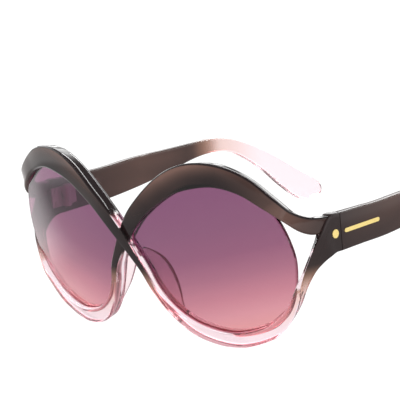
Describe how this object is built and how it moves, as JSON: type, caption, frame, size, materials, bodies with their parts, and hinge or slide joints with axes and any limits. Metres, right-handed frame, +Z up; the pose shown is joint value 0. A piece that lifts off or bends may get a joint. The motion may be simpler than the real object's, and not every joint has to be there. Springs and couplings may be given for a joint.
{
  "type": "oversized sunglasses",
  "caption": "Oversized sunglasses with two ribbon bands crossing at the bridge, part-rimless round lenses, clear nose pads and barrel-hinged wide temples.",
  "frame": {"origin": "centre of the bounding box in X and Y, on the surface that the open glasses rest on", "axes": "+X to the wearer's left, +Y back along the temples, +Z up; the front looks along -Y"},
  "size_m": [0.1418, 0.178, 0.0673],
  "materials": {
    "frame": "polished, grey-brown above fading to clear pale pink",
    "lens": "purple-grey to salmon gradient tint",
    "clear": "clear pale pink",
    "hinge": "satin",
    "trim": "polished gold colour"
  },
  "bodies": {
    "front": {"front_frame": "frame", "lens_left": "lens", "lens_right": "lens", "nose_pad_left": "clear", "nose_pad_right": "clear", "hinge_front_leaf_left": "hinge", "hinge_front_leaf_right": "hinge", "hinge_screw_left": "hinge", "hinge_screw_right": "hinge", "front_leaf_screws_left": "hinge", "front_leaf_screws_right": "hinge", "endpiece_stud_left": "trim", "endpiece_stud_right": "trim"},
    "left_temple": {"temple_left": "frame", "hinge_temple_leaf_left": "hinge", "temple_leaf_screws_left": "hinge", "temple_bar_left": "trim"},
    "right_temple": {"temple_right": "frame", "hinge_temple_leaf_right": "hinge", "temple_leaf_screws_right": "hinge", "temple_bar_right": "trim"}
  },
  "joints": [
    {"name": "left_temple_fold", "type": "hinge", "parent": "front", "child": "left_temple", "pos_m": [0.065, -0.05336, 0.03825], "axis": [0, 0.0502, 0.9987], "range_deg": [0, 90]},
    {"name": "right_temple_fold", "type": "hinge", "parent": "front", "child": "right_temple", "pos_m": [-0.065, -0.05336, 0.03825], "axis": [0, -0.0502, -0.9987], "range_deg": [0, 76]}
  ]
}
